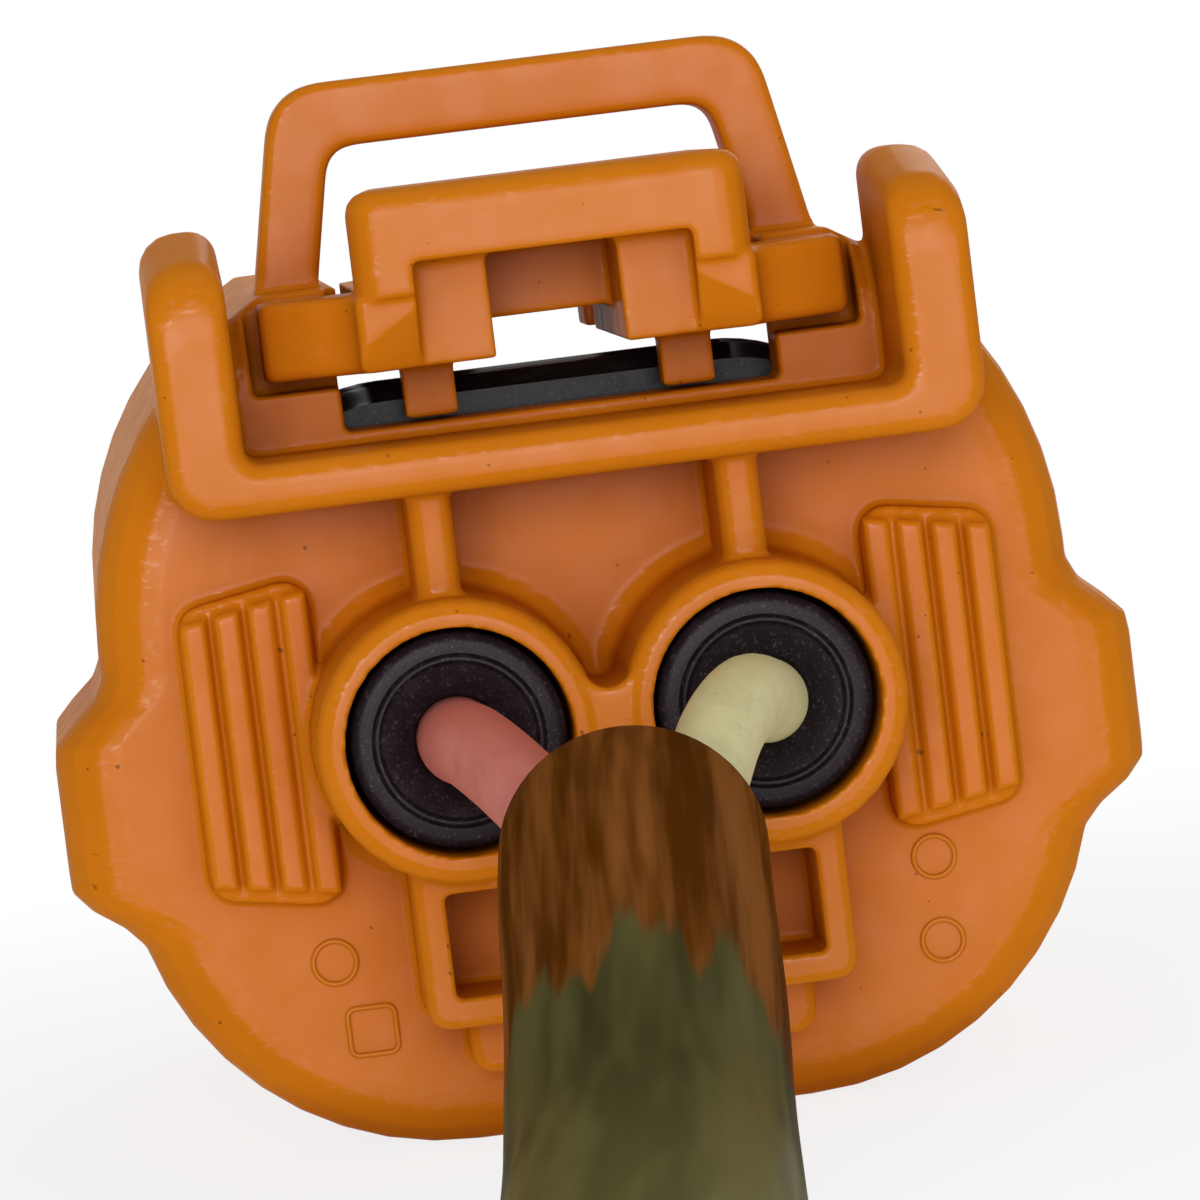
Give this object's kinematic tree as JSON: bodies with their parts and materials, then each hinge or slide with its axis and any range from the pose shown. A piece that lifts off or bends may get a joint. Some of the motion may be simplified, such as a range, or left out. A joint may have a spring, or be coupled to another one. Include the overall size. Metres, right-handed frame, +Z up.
{
  "type": "sealed plug connector",
  "caption": "Orange sealed plug for crimped wires, with a press latch under a guard loop, a tray over its wire collars, grip wings and a short sleeved pigtail.",
  "frame": {"origin": "under the middle of the plug's box without its cord, on the flat underside of the hood", "axes": "+Y is the mating direction, +Z points up to the latch, +X is to the right from the wire side"},
  "size_m": [0.0571, 0.1159, 0.0249],
  "materials": {
    "orange_plastic": "satin moulded nylon",
    "seal_rubber": "matt silicone rubber",
    "ring_rubber": "oiled silicone rubber",
    "retainer_plastic": "moulded natural nylon",
    "tinned_brass": "tin plated sheet",
    "spring_steel": "rolled strip",
    "bare_copper": "stranded copper",
    "pink_insulation": "extruded insulation",
    "cream_insulation": "extruded insulation",
    "sleeve_vinyl": "glossy extruded vinyl"
  },
  "bodies": {
    "plug": {"housing": "orange_plastic", "interface_seal": "ring_rubber", "wire_seal_left": "seal_rubber", "wire_seal_right": "seal_rubber", "terminal_left": "tinned_brass", "terminal_right": "tinned_brass", "contact_spring_left": "spring_steel", "contact_spring_right": "spring_steel", "conductor_left": "bare_copper", "conductor_right": "bare_copper", "wire_left": "pink_insulation", "wire_right": "cream_insulation", "sleeve": "sleeve_vinyl", "tail_left": "bare_copper", "tail_right": "bare_copper"},
    "latch": {"latch_arm": "orange_plastic"},
    "retainer": {"front_retainer": "retainer_plastic"}
  },
  "joints": [
    {"name": "latch_press", "type": "hinge", "parent": "plug", "child": "latch", "pos_m": [0, -0.009, 0.01715], "axis": [1, 0, 0], "range_deg": [0, 8], "stiffness_Nm_per_rad": 0.3},
    {"name": "retainer_slide", "type": "slide", "parent": "plug", "child": "retainer", "axis": [0, 1, 0], "range_m": [0, 0.002]}
  ]
}
